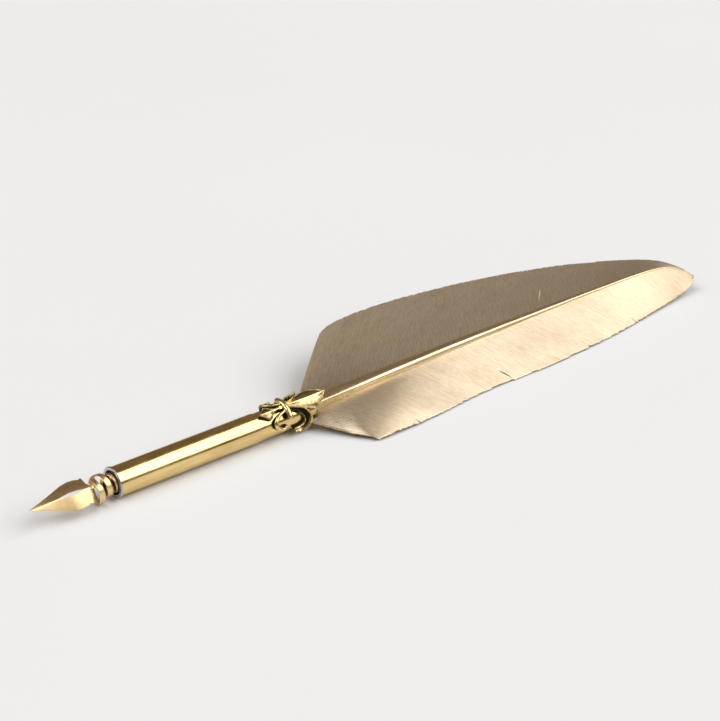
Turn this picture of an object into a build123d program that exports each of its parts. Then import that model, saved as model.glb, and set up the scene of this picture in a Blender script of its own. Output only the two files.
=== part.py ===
"""Feather dip pen: a gilt nib, a brass barrel, a cast fleur-de-lis and a gilded goose feather.

The pen lies on a table. +X runs along the barrel's axis from the nib to the feather, +Z is up, and the
origin is on that axis in the plane of the barrel's mouth. Lengths are in millimetres.
"""

from build123d import *
from math import cos, pi, radians, sin
import os

os.makedirs("parts", exist_ok=True)

# ---- driving dimensions -------------------------------------------------------------------------
CLEAR_OF_PEN = 9.0         # a radius outside everything on the barrel
BARREL_R = 4.0
BARREL_WALL = 0.4
BARREL_LEN = 62.0
CASTING_SEAT_START = 44.2  # the rear of the barrel is turned down for the cast ornament
CASTING_SEAT_R = 3.8
BORE_R = BARREL_R - BARREL_WALL
RIM_ROUND = 0.08

# The steel ferrule pressed into the barrel's mouth.
LIP_R = 4.2
LIP_LEN = 0.5
LIP_ROUND = 0.2
LIP_BORE_R = 3.3
SEAT_R = 2.8
SEAT_START = 3.0
SEAT_LEAD_IN = 0.5         # the step from the wide mouth to the seat is this much bevelled
FERRULE_END = 14.0

# The nib: a stamped blade and a ribbon wound into a spiral shank.
NIB_ROLL = 35.5            # how far the blade's ridge leans towards -Y
SHEET = 0.28               # the nib's sheet thickness
BLADE_TIP = -25.8
BLADE_BACK = -8.4
COIL_R = 3.9               # outer radius of the big turns in front of the mouth
COIL_START = -6.64         # where the ribbon's middle would cross +Z
COIL_PITCH = 2.9
COIL_WIDTH = 1.7
SHANK_FIT = 0.12           # gap between the shank's turns and the seat
SHANK_R = SEAT_R - SHANK_FIT
SHANK_END = 11.8

# The four-leaf spring clip that grips the shank from inside.
CLIP_BASE_START = 12.0
CLIP_BASE_LEN = 1.4
LEAF_START = 4.0
LEAF_GAP = 0.15            # between the leaves and the shank round them
LEAF_R = SHANK_R - SHEET - LEAF_GAP
LEAF_SHEET = 0.3
LEAF_SLOT = 0.9
CLIP_HOLE_R = 1.45

# The rear bush, the quill's glue and the feather's shaft.
BUSH_START = 46.0
CALAMUS_START = 48.0
CALAMUS_R = 2.0
GLUE_R = 2.4
RACHIS_R = 2.6             # half width of the shaft where it leaves the barrel
RACHIS_FLATNESS = 0.85
RACHIS_TAPER = 0.9         # share of its width that the shaft loses by the tip
FEATHER_START = BARREL_LEN + 0.4
SHAFT_LAP = 1.0            # the round shaft runs this far into the tapered one
FEATHER_TIP = 199.6

# The feather's centre line and the outer edges of its vanes: place, across (to +Y) and height.
RACHIS_LINE = [
    (FEATHER_START, 0.0, 0.1), (78, -2.4, 2.4), (107.5, -3.3, 3.9), (139, -2.8, 3.9), (165, -2.9, 4.1),
    (183, -4.2, 4.7), (191, -5.4, 4.3), (196.5, -6.8, 2.2), (FEATHER_TIP, -8.0, 0.0),
]
NEAR_EDGE = [
    (60.2, -5.3, -1.45), (65.2, -13.4, -2.75), (69.2, -20.6, -3.8), (88, -20.2, -3.9), (110, -18.0, -3.9),
    (135, -17.9, -3.9), (160, -15.9, -3.9), (182, -12.4, -3.9), (192.5, -10.8, -3.0),
    (198, -9.8, -1.6), (FEATHER_TIP, -8.4, -0.4),
]
FAR_EDGE = [
    (FEATHER_START, 4.0, 0.9), (72.8, 14.1, 3.5), (84, 22.2, 6.8), (95, 23.6, 8.0), (113, 22.9, 8.0),
    (136, 20.7, 7.0), (150, 18.1, 6.4), (166, 13.8, 5.7), (182, 7.0, 5.0), (193, 0.8, 3.9),
    (197.6, -3.6, 2.1), (FEATHER_TIP, -7.4, 0.3),
]
FEATHER_PLACES = [
    66.5, 69.2, 72.8, 78, 84, 95, 104, 113, 124, 136, 148, 159, 170, 182, 188, 193, 196.5, 198.4, FEATHER_TIP,
]
VANE_ROOT = 0.8            # thickness at the shaft
VANE_RIM = 0.5             # thickness at the outer edge
NEAR_BOW = (1.3, 0.0)      # the near vane arches at its base and is straight further on
FAR_BOW = (-0.8, -0.3)     # the far vane is hollow, most at its base
BOW_RISE = (56, 73)        # the places between which the bows set in
BOW_CHANGE = (80, 98)      # the places between which they change
FULL_BOW_REACH = 10        # a vane at least this wide has its full bow
BARREL_GAP = 0.2           # between the barrel and the barbs beside it
BESIDE_HEIGHT = -1.1       # height of those barbs' inner ends

# The cast ornament, wrapped round the barrel's rear end.
ORNAMENT_ROLL = 24.0       # the leaf's centre line leans towards -Y
RELIEF_R = 5.3
BAND_R = 5.8
MEAN_R = 4.7               # radius at which the pattern keeps its flat widths
SIDE_TURN = 72.0           # the side petals are drawn square to this direction
BAND_START = 52.0
BAND_LEN = 1.8
BAND_THICKNESS = 1.2
BAND_ARC = 46.0
# The flat pattern: places along the barrel and widths from the centre line.
LEAF_OUTLINE = [
    (66.5, 0), (64.4, 1.6), (61.4, 3.7), (57.8, 2.6), (54.2, 1.0),
    (51.6, 0.7), (49.4, 0.6), (47.2, 2.5), (44.5, 0),
]
UPPER_PETAL = [
    (52.6, 1.0), (56.2, 1.8), (59.4, 4.2), (59.6, 7.0), (57.2, 8.7), (54.8, 8.0),
    (54.4, 6.6), (56.4, 6.6), (57.2, 5.2), (55.6, 3.2), (53.2, 2.2),
]
LOWER_PETAL = [
    (53.0, 1.0), (50.0, 1.6), (47.8, 3.0), (47.4, 5.2), (49.4, 6.5), (51.2, 6.2),
    (51.0, 5.0), (49.6, 4.6), (50.0, 3.4), (51.6, 2.4),
]


def tilt(angle):
    """The unit vector square to the barrel's axis that leans by angle from +Z towards -Y."""
    return Vector(0, -sin(radians(angle)), cos(radians(angle)))


# ---- barrel -------------------------------------------------------------------------------------
with BuildPart() as barrel_tube:
    with BuildSketch(Plane.YZ):
        Circle(BARREL_R)
        Circle(BORE_R, mode=Mode.SUBTRACT)
    extrude(amount=BARREL_LEN)
    with BuildSketch(Plane.YZ.offset(CASTING_SEAT_START)):
        Circle(BARREL_R)
        Circle(CASTING_SEAT_R, mode=Mode.SUBTRACT)
    extrude(amount=BARREL_LEN - CASTING_SEAT_START, mode=Mode.SUBTRACT)
    rear_rim = barrel_tube.edges().filter_by(GeomType.CIRCLE).group_by(Axis.X)[-1]
    fillet(rear_rim, radius=RIM_ROUND)

# ---- mouth ferrule: a lip outside, a wide mouth and a narrower seat for the shank ---------------
with BuildPart() as mouth_ferrule:
    with BuildSketch(Plane.XZ):
        with BuildLine():
            Polyline(
                (-LIP_LEN, LIP_BORE_R),
                (-LIP_LEN, LIP_R),
                (0, LIP_R),
                (0, BORE_R),
                (FERRULE_END, BORE_R),
                (FERRULE_END, SEAT_R),
                (SEAT_START, SEAT_R),
                (SEAT_START - SEAT_LEAD_IN, LIP_BORE_R),
                close=True,
            )
        make_face()
    revolve(axis=Axis.X)
    lip_rims = mouth_ferrule.edges().filter_by(GeomType.CIRCLE).group_by(Axis.X)[0]
    fillet(lip_rims, radius=LIP_ROUND)

# ---- nib clip: a base disc with four spring leaves ----------------------------------------------
with BuildPart() as nib_clip:
    with BuildSketch(Plane.YZ.offset(CLIP_BASE_START)):
        Circle(SEAT_R)
        Circle(CLIP_HOLE_R, mode=Mode.SUBTRACT)
    extrude(amount=CLIP_BASE_LEN)
    with BuildSketch(Plane.YZ.offset(LEAF_START)):
        Circle(LEAF_R)
        Circle(LEAF_R - LEAF_SHEET, mode=Mode.SUBTRACT)
        with PolarLocations(0, 2, start_angle=45, angular_range=180):
            Rectangle(4 * LEAF_R, LEAF_SLOT, mode=Mode.SUBTRACT)
    extrude(amount=CLIP_BASE_START + CLIP_BASE_LEN / 2 - LEAF_START)

# ---- nib ----------------------------------------------------------------------------------------
# Each blade station: its place along the axis, half width, ridge height and edge height.
BLADE_STATIONS = [
    (BLADE_TIP, 0.12, 2.55, 2.50),
    (-23.6, 0.75, 2.70, 2.42),
    (-20.8, 1.60, 2.95, 2.15),
    (-17.4, 2.75, 3.20, 1.65),
    (-14.2, 3.75, 3.35, 1.30),
    (-11.8, 3.95, 3.25, 1.30),
    (-9.6, 3.52, 3.00, 1.45),
]
WING_BULGE = 0.12          # how far each wing bows out from the straight line of its roof
VENT_START = -17.2
VENT_END = -10.4
VENT_WIDTH = 1.3
SLIT_WIDTH = 0.12
BARB_SPREAD = 0.3          # how far the shoulder barbs flare at the blade's back edge
BARB_DROP = (0.12, 0.05)   # how far the ridge and the edges fall there
SLIT_RUN_OUT = 0.5         # the slit's cut runs out past the tip
NECK_LAP = 0.6             # the neck overlaps the blade
OPENING_ARC = 60           # winding angle over which the ribbon opens from the neck
NECK_ARC = (5, 66)         # the neck's sides, as angles from +Z towards -Y
NECK_LEN = 2.2
NECK_MID_R = 2.95
BIG_MID_R = COIL_R - SHEET / 2
SHANK_MID_R = SHANK_R - SHEET / 2
TAPER_ARC = (200, 600)     # winding angles between which the turns taper in
SPIRAL_ARC = (18, 360 * (SHANK_END - COIL_START - COIL_WIDTH / 2) / COIL_PITCH)
RIBBON_STEPS = 120


def blade_section(half, ridge, edge, place):
    """A roof-shaped strip of sheet, square to the axis, with its ridge leaning by NIB_ROLL."""
    bulge = WING_BULGE * min(1.0, half)
    middle = (ridge + edge) / 2 + bulge
    plane = Plane(origin=(place, 0, 0), x_dir=tilt(NIB_ROLL - 90), z_dir=(1, 0, 0))
    with BuildSketch(plane, mode=Mode.PRIVATE) as section:
        with BuildLine():
            ThreePointArc((-half, edge), (-half / 2, middle), (0, ridge))
            ThreePointArc((0, ridge), (half / 2, middle), (half, edge))
            Line((half, edge), (half, edge - SHEET))
            ThreePointArc((half, edge - SHEET), (half / 2, middle - SHEET), (0, ridge - SHEET))
            ThreePointArc((0, ridge - SHEET), (-half / 2, middle - SHEET), (-half, edge - SHEET))
            Line((-half, edge - SHEET), (-half, edge))
        make_face()
    return section.sketch.faces()[0]


def ribbon_radius(angle):
    """The ribbon's mid radius: it leaves the neck, opens to the big turns and tapers into the ferrule."""
    opening = min(1.0, max(0.0, (angle - NECK_ARC[0]) / OPENING_ARC))
    taper = min(1.0, max(0.0, (angle - TAPER_ARC[0]) / (TAPER_ARC[1] - TAPER_ARC[0])))
    return NECK_MID_R + (BIG_MID_R - NECK_MID_R) * opening - (BIG_MID_R - SHANK_MID_R) * taper


def ribbon_section(angle):
    """The ribbon's own rectangle at one winding angle, square to the helix."""
    radius = ribbon_radius(angle)
    outward = tilt(angle)
    centre = outward * radius + Vector(COIL_START + COIL_PITCH * angle / 360, 0, 0)
    around = tilt(angle + 90) * (radians(360) * radius) + Vector(COIL_PITCH, 0, 0)
    with BuildSketch(Plane(origin=centre, x_dir=outward, z_dir=around), mode=Mode.PRIVATE) as section:
        Rectangle(SHEET, COIL_WIDTH)
    return section.sketch.faces()[0]


with BuildPart() as nib:
    blade = [blade_section(half, ridge, edge, place) for place, half, ridge, edge in BLADE_STATIONS]
    loft(blade, ruled=True)
    place, half, ridge, edge = BLADE_STATIONS[-1]
    flare = blade_section(half + BARB_SPREAD, ridge - BARB_DROP[0], edge - BARB_DROP[1], BLADE_BACK)
    loft([blade[-1], flare], ruled=True)
    # the slit and the drop-shaped vent, cut square to the ridge
    with BuildSketch(Plane(origin=(0, 0, 0), x_dir=(1, 0, 0), z_dir=tilt(NIB_ROLL))):
        with Locations(((BLADE_TIP + VENT_START) / 2, 0)):
            Rectangle(VENT_START - BLADE_TIP + 2 * SLIT_RUN_OUT, SLIT_WIDTH)
        with BuildLine():
            belly = VENT_END - VENT_WIDTH
            Spline((VENT_START, 0), (belly, VENT_WIDTH / 2), (VENT_END, 0), tangents=((1, 0), (0, -1)))
            Spline((VENT_END, 0), (belly, -VENT_WIDTH / 2), (VENT_START, 0), tangents=((0, -1), (-1, 0)))
        make_face()
    extrude(amount=CLEAR_OF_PEN, mode=Mode.SUBTRACT)
    # the neck from the blade's ridge to the ribbon
    with BuildSketch(Plane.YZ.offset(BLADE_BACK - NECK_LAP)):
        Circle(NECK_MID_R + SHEET)
        Circle(NECK_MID_R - SHEET, mode=Mode.SUBTRACT)
        with BuildLine():
            rays = [tilt(turn) * CLEAR_OF_PEN for turn in NECK_ARC]
            Polyline((0, 0), *[(ray.Y, ray.Z) for ray in rays], close=True)
        make_face(mode=Mode.INTERSECT)
    extrude(amount=NECK_LEN)
    # the spiral, one ruled ribbon from the neck to the end of the shank
    step = (SPIRAL_ARC[1] - SPIRAL_ARC[0]) / RIBBON_STEPS
    loft([ribbon_section(SPIRAL_ARC[0] + step * count) for count in range(RIBBON_STEPS + 1)], ruled=True)

# ---- feather bush, glue and shaft ---------------------------------------------------------------
with BuildPart() as feather_bush:
    with BuildSketch(Plane.YZ.offset(BUSH_START)):
        Circle(BORE_R)
        Circle(GLUE_R, mode=Mode.SUBTRACT)
    extrude(amount=BARREL_LEN - BUSH_START)

with BuildPart() as quill_glue:
    with BuildSketch(Plane.YZ.offset(BUSH_START)):
        Circle(GLUE_R)
    extrude(amount=BARREL_LEN - BUSH_START)
    with BuildSketch(Plane.YZ.offset(CALAMUS_START)):
        Circle(CALAMUS_R)
    extrude(amount=BARREL_LEN - CALAMUS_START, mode=Mode.SUBTRACT)


def smooth_line(points, place):
    """A smooth curve through points, read at one place: its across and height."""
    count = len(points) - 1
    step = max(index for index in range(count) if place >= points[index][0] or index == 0)

    def slope(index):
        before, after = points[max(index - 1, 0)], points[min(index + 1, count)]
        return Vector(0, after[1] - before[1], after[2] - before[2]) / (after[0] - before[0])

    start, end = points[step], points[step + 1]
    span = end[0] - start[0]
    share = (place - start[0]) / span
    blend = share * share * (3 - 2 * share)
    level = Vector(0, *start[1:]) * (1 - blend) + Vector(0, *end[1:]) * blend
    bend = slope(step) * (1 - share) - slope(step + 1) * share
    return Vector(place, 0, 0) + level + bend * (span * share * (1 - share))


def shaft_width(place):
    """Half width of the shaft, which tapers to the tip."""
    return RACHIS_R * (1 - RACHIS_TAPER * (place - FEATHER_START) / (FEATHER_TIP - FEATHER_START))


def shaft_section(place):
    width = shaft_width(place)
    plane = Plane(origin=smooth_line(RACHIS_LINE, place), x_dir=(0, 1, 0), z_dir=(1, 0, 0))
    with BuildSketch(plane, mode=Mode.PRIVATE) as section:
        Ellipse(width, width * RACHIS_FLATNESS)
    return section.sketch.faces()[0]


with BuildPart() as quill_shaft:
    with BuildSketch(Plane.YZ.offset(CALAMUS_START)):
        Circle(CALAMUS_R)
    extrude(amount=FEATHER_START + SHAFT_LAP - CALAMUS_START)
    loft([shaft_section(place) for place in [FEATHER_START, *FEATHER_PLACES]], ruled=True)


def passed(span, place):
    """The share of a span that lies before place, from 0 to 1, eased at both ends."""
    share = min(1, max(0, (place - span[0]) / (span[1] - span[0])))
    return share * share * (3 - 2 * share)


def vane_section(edge_line, bow, place, root=None):
    """A thin bowed strip from the shaft, or from root, to the vane's edge."""
    edge = smooth_line(edge_line, place)
    centre = smooth_line(RACHIS_LINE, max(place, FEATHER_START))
    turn = 1 if edge_line is FAR_EDGE else -1
    inner = root or Vector(place, centre.Y + turn * shaft_width(place) / 2, centre.Z)
    reach = abs(edge.Y - inner.Y)
    rise = passed(BOW_RISE, place) * min(1, reach / FULL_BOW_REACH)
    change = passed(BOW_CHANGE, place)
    arch = (bow[0] * (1 - change) + bow[1] * change) * rise
    middle = (inner + edge) / 2 + Vector(0, 0, arch)
    thickness = ((inner, VANE_ROOT), (middle, VANE_ROOT), (edge, VANE_RIM))
    top = [(point.Y, point.Z + sheet / 2) for point, sheet in thickness]
    bottom = [(point.Y, point.Z - sheet / 2) for point, sheet in reversed(thickness)]
    plane = Plane(origin=(place, 0, 0), x_dir=(0, 1, 0), z_dir=(1, 0, 0))
    with BuildSketch(plane, mode=Mode.PRIVATE) as section:
        with BuildLine():
            ThreePointArc(*top)
            Line(top[-1], bottom[0])
            ThreePointArc(*bottom)
            Line(bottom[-1], top[0])
        make_face()
    return section.sketch.faces()[0]


beside_barrel = Vector(0, -BARREL_R - BARREL_GAP, BESIDE_HEIGHT)
with BuildPart() as near_vane:
    loft([
        vane_section(NEAR_EDGE, NEAR_BOW, NEAR_EDGE[0][0], root=beside_barrel),
        vane_section(NEAR_EDGE, NEAR_BOW, BARREL_LEN + BARREL_GAP, root=beside_barrel),
        *[vane_section(NEAR_EDGE, NEAR_BOW, place) for place in [FEATHER_START, *FEATHER_PLACES]],
    ], ruled=True)

with BuildPart() as far_vane:
    places = [FEATHER_START, *FEATHER_PLACES]
    loft([vane_section(FAR_EDGE, FAR_BOW, place) for place in places], ruled=True)


# ---- ornament -----------------------------------------------------------------------------------
def pattern(direction, place, across):
    """A point of the flat pattern, seen square to direction: across is counted towards -Y."""
    turn = across / MEAN_R - radians(direction)
    return (place, -MEAN_R * sin(turn))


def pattern_plane(direction):
    return Plane(origin=(0, 0, 0), x_dir=(1, 0, 0), z_dir=tilt(ORNAMENT_ROLL + direction))


with BuildPart() as fleur_ornament:
    # the long leaf and the spike below it, both on the centre line
    with BuildSketch(pattern_plane(0)):
        with BuildLine():
            Polyline(*[pattern(0, place, half) for place, half in LEAF_OUTLINE])
            mirror(about=Plane.XZ)
        make_face()
    extrude(amount=CLEAR_OF_PEN)
    # the curled petals above the band and the small ones below it, on both sides
    for side in (1, -1):
        for outline in (UPPER_PETAL, LOWER_PETAL):
            turn = side * SIDE_TURN
            with BuildSketch(pattern_plane(turn)):
                with BuildLine():
                    points = [pattern(turn, place, side * across) for place, across in outline]
                    Spline(*points, periodic=True)
                make_face()
            extrude(amount=CLEAR_OF_PEN)
    with BuildSketch(Plane.YZ):
        Circle(RELIEF_R)
        Circle(CASTING_SEAT_R, mode=Mode.SUBTRACT)
    extrude(amount=2 * BARREL_LEN, mode=Mode.INTERSECT)
    # the band that ties the leaf and the petals together
    with BuildSketch(Plane.YZ.offset(BAND_START)):
        Circle(BAND_R)
        Circle(BAND_R - BAND_THICKNESS, mode=Mode.SUBTRACT)
        with BuildLine():
            turns = (-BAND_ARC, -BAND_ARC / 2, BAND_ARC / 2, BAND_ARC)
            corners = [tilt(ORNAMENT_ROLL + turn) * CLEAR_OF_PEN for turn in turns]
            Polyline((0, 0), *[(corner.Y, corner.Z) for corner in corners], close=True)
        make_face(mode=Mode.INTERSECT)
    extrude(amount=BAND_LEN)

for name, piece in {
    "barrel_tube": barrel_tube,
    "mouth_ferrule": mouth_ferrule,
    "nib_clip": nib_clip,
    "nib": nib,
    "feather_bush": feather_bush,
    "quill_glue": quill_glue,
    "quill_shaft": quill_shaft,
    "near_vane": near_vane,
    "far_vane": far_vane,
    "fleur_ornament": fleur_ornament,
}.items():
    piece.part.label = name
    export_step(piece.part, f"parts/{name}.step")
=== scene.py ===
"""The looks of a feather dip pen: a gilded goose feather, a cast fleur-de-lis, a brass barrel and a gilt nib.

+X runs along the barrel's axis from the nib to the feather and +Z is up. Shapes are worked out in
millimetres and turned into metres when a mesh is made.
"""

import random
from math import cos, pi, radians, sin, tan

import bmesh
import bpy
import numpy as np
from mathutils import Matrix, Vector, noise


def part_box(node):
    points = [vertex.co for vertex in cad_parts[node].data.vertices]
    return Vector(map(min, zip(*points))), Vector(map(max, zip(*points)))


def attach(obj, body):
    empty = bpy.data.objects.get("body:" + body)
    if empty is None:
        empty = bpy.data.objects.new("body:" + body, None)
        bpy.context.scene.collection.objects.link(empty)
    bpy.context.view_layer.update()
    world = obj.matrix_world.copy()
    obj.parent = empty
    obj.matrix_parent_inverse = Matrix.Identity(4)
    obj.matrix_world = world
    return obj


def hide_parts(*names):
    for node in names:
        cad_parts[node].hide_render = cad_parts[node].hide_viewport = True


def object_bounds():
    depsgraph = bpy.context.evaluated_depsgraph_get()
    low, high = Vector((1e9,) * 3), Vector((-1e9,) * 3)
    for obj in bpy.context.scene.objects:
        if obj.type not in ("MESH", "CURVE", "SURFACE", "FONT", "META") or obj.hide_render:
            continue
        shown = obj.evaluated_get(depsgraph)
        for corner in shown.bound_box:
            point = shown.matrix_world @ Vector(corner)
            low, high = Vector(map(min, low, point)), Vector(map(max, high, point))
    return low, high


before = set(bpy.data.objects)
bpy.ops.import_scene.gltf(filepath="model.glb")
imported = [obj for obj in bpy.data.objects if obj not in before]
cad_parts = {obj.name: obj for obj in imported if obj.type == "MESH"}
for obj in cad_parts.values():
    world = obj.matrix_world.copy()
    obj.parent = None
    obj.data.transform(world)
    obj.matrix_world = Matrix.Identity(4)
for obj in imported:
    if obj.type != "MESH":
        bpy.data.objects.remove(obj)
cad_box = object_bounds()

MM = 0.001
random.seed(7)

# ---- driving dimensions, in millimetres ---------------------------------------------------------
BARREL_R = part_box("barrel_tube")[1].z / MM
BARREL_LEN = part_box("barrel_tube")[1].x / MM
CALAMUS_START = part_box("quill_shaft")[0].x / MM
CALAMUS_R = 2.0
CALAMUS_END = BARREL_LEN - 0.2
FEATHER_START = BARREL_LEN + 0.4
FEATHER_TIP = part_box("quill_shaft")[1].x / MM
TABLE = cad_box[0][2] / MM

RACHIS_R = 2.6
RACHIS_FLATNESS = 0.85
RACHIS_TAPER = 0.9
RACHIS_CREST = radians(46)      # the shaft is fullest on this side, towards -Y
RACHIS_GROOVE = radians(78)     # a shallow groove beside the near vane
CREST = (0.24, 0.5)             # its height as a share of the shaft's half width, and its spread in radians
GROOVE = (0.12, 0.16)           # its depth and spread, likewise
SHAFT_BODY = 0.95               # the shaft away from them, as a share of its half width
FAR_SIDE_FLARE = (0.7, 1.5)     # how far the shaft widens under the far vane, and how late round its side
SHAFT_SIDES = 36
SHAFT_STEPS = 90

# The feather's centre line and the outer edges of its vanes: place, across (to +Y) and height.
RACHIS_LINE = [
    (FEATHER_START, 0.0, 0.1), (78, -2.4, 2.4), (107.5, -3.3, 3.9), (139, -2.8, 3.9), (165, -2.9, 4.1),
    (183, -4.2, 4.7), (191, -5.4, 4.3), (196.5, -6.8, 2.2), (FEATHER_TIP, -8.0, 0.0),
]
NEAR_EDGE = [
    (60.2, -5.3, -1.45), (65.2, -13.4, -2.75), (69.2, -20.6, -3.8), (88, -20.2, -3.9), (110, -18.0, -3.9),
    (135, -17.9, -3.9), (160, -15.9, -3.9), (182, -12.4, -3.9), (192.5, -10.8, -3.0), (198, -9.8, -1.6),
    (FEATHER_TIP, -8.4, -0.4),
]
FAR_EDGE = [
    (FEATHER_START, 4.0, 0.9), (72.8, 14.1, 3.5), (84, 22.2, 6.8), (95, 23.6, 8.0), (113, 22.9, 8.0),
    (136, 20.7, 7.0), (150, 18.1, 6.4), (166, 13.8, 5.7), (182, 7.0, 5.0), (193, 0.8, 3.9),
    (197.6, -3.6, 2.1), (FEATHER_TIP, -7.4, 0.3),
]

# Each vane: its outer edge, the place where its first barb ends, the side of the shaft, its bow at the base
# and further on, how far up the shaft it is rooted at the base and the tip, how much it waves, where its
# first barb is rooted, the angle of its barbs at the base, middle and tip, and its splits. A split has the
# place where its barbs end, the shares of a barb between which it opens, and its width.
NEAR_VANE = dict(
    edge=NEAR_EDGE, corner=69.2, side=-1, bow=(1.3, 0.0), lift=(-0.15, 0.6), swell=1.0,
    first_root=57.4, angles=(60, 56, 30),
    splits=[(84, 0.9, 1.0, 0.2), (120.5, 0.7, 0.92, 0.3), (150, 0.9, 1.0, 0.14), (171, 0.85, 1.0, 0.16)],
)
FAR_VANE = dict(
    edge=FAR_EDGE, corner=84, side=1, bow=(-0.8, -0.3), lift=(0.8, 0.8), swell=0.4,
    first_root=59.0, angles=(44, 48, 26),
    splits=[(78, 0.93, 1.0, 0.3), (118, 0.94, 1.0, 0.2), (161.5, 0.2, 0.46, 0.25), (176, 0.93, 1.0, 0.2)],
)
BOW_RISE = (56, 73)             # the places between which the bows set in
BOW_CHANGE = (80, 98)           # the places between which they change
FULL_BOW_REACH = 10             # a vane at least this wide has its full bow
BARB_PITCH = 0.5
BARB_SAMPLES = 4                # columns of the mesh to each barb
BARB_ROWS = 30
BARB_RELIEF = 0.05
RELIEF_LOSS = 0.4               # share of the relief that is lost by the vane's edge
BARB_STEP = 0.4                 # length of one step along a barb while it is laid out
BARB_BEND = radians(0.25)       # how much a barb turns towards the tip over one millimetre
BARB_ROOT = 0.4                 # where a barb starts, as a share of the shaft's half width
LAST_ROOT = FEATHER_TIP - 0.3
ANGLE_EASE = (4, 5)             # how soon the barbs reach their middle angle, and how late their tip angle
SMALL_SPLITS = 30
SMALL_SPLIT_ROOM = 10           # they keep this far from the vane's first root
LAST_SMALL_SPLIT = FEATHER_TIP - 4
SMALL_SPLIT_START = (0.93, 0.98)
SMALL_SPLIT_WIDTH = (0.02, 0.09)
SPLIT_FLARE = 1.4               # how late a split that runs to the edge opens
SPLIT_PUSH = (2, 8)             # barbs that a split pushes aside: some, and more the longer it is
SHUT_BELOW = 0.01               # a split stays shut where its share of opening is below this
BARB_CUT = 0.3                  # how far a barb's end is set back, less the next two
BARB_POINT = 0.1                # how far the middle of its end stands past its sides
BARB_RAGGED = 0.25              # how unevenly the barbs end
WAVE_HEIGHT, WAVE_SCALE = 0.22, (0.11, 0.05)
CLUMP_HEIGHT, CLUMP_SCALE = 0.1, (0.16, 0.8)
WAVE_POWER = 1.5                # the waves grow towards the vane's edge
TABLE_GAP = 0.06                # how far the vanes keep off the table
ROOT_THICKNESS = 0.4
RIM_THICKNESS = 0.11
BARREL_GAP = 0.2

# The nib: a stamped blade, a neck and a ribbon wound into a spiral shank.
NIB_ROLL = radians(35.5)        # the blade's ridge leans towards -Y
SHEET = 0.26
BLADE_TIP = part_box("nib")[0].x / MM
BLADE_BACK = -8.4
# The ridge: place and height. The wings' edges: place, half width and height.
RIDGE = [
    (BLADE_TIP, 2.5), (-23.6, 2.7), (-20.8, 2.95), (-17.4, 3.2), (-14.2, 3.35), (-11.6, 3.22),
    (BLADE_BACK, 2.86),
]
WING = [
    (BLADE_TIP, 0.1, 2.46), (-23.6, 0.72, 2.42), (-20.8, 1.55, 2.18), (-17.4, 2.7, 1.65), (-14.4, 3.72, 1.25),
    (-12.4, 4.0, 1.28), (-10.6, 3.86, 1.42), (-9.3, 3.52, 1.42), (-8.75, 3.6, 1.36), (BLADE_BACK, 3.82, 1.34),
]
BLADE_STEPS = 120
WING_STEPS = 22
WING_CROWDING = 1.3             # crowds a wing's points towards the slit
WING_BELLY = 0.02               # how far the wings bow out
RIDGE_ROUND = (0.05, 0.22)      # how far the ridge is rounded off, and over what width
VENT = (-17.2, -10.4)
VENT_HALF = 0.5
VENT_CURVE = (2.3, 0.75, 0.5)   # a factor and two powers that shape the drop
VENT_LIMIT = 0.8                # the vent never takes more of the blade's half width than this
SLIT_HALF = 0.035
COIL_R = 3.9                    # radius of the ribbon's widest turn
COIL_START = -6.64
COIL_PITCH = 2.9
COIL_WIDTH = 1.7
SHANK_R = 2.68                  # radius of the turns inside the ferrule
COIL_STEP = 4
COIL_FIRST = 8                  # the winding angle at which the ribbon starts
COIL_NARROW = 0.55              # the ribbon's width there, as a share of COIL_WIDTH
COIL_WIDENS = 90                # the turn over which it would gain all of COIL_WIDTH
OPENING = (5, 65)               # the winding angles between which the ribbon opens
# The ribbon's section: across as a share of its width, and depth as a share of SHEET.
RIBBON_PROFILE = [
    (-0.5, 0.5), (-0.46, 0.2), (-0.36, 0.05), (0, 0), (0.36, 0.05), (0.46, 0.2), (0.5, 0.5),
    (0.44, 0.9), (0, 1), (-0.44, 0.9),
]
NECK_R = 3.0
NECK_STEPS = (24, 18)
NECK_PLACES = (BLADE_BACK - 1.2, COIL_START + 1.0)
NECK_TURNS = (4, 62)            # the neck's sides, as angles from +Z towards -Y
NECK_MIDDLE = sum(NECK_TURNS) / 2
NECK_LEAN = (35.5, 12)          # the neck's lean at the blade, and how much less it is at the ribbon
NECK_WAIST = 0.35               # how much narrower the neck is halfway, as a share of its width
NECK_RADIUS = (2.98, 0.1, 0.15)     # at the blade, its dip halfway and its rise at the ribbon
NECK_LEAVES = (BLADE_BACK - 0.1, BLADE_BACK + 0.9)      # where the neck parts from the blade's skin
NECK_SKIN = 0.02                # the neck lies this far under the blade's skin
SHANK_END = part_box("nib")[1].x / MM
TAPER = (200, 600)              # the winding angles between which the spiral tapers in

# The cast ornament, wrapped round the barrel's rear end.
ORNAMENT_ROLL = radians(24)
SEAT_R = 3.8
ORNAMENT_MEAN_R = 4.7           # radius at which its flat pattern keeps its widths
ORNAMENT_CELL = 0.11
ORNAMENT_PLACES = (44.3, 66.7)
ORNAMENT_REACH = 9.6            # half width of its flat pattern
LEAF_BACK_R = 3.75              # radius of the leaf's back, behind the barrel's end
SEAT_LAP = 0.1                  # how far the casting reaches into its seat
LEAST_METAL = 0.02              # the thinnest that the casting gets


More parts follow.
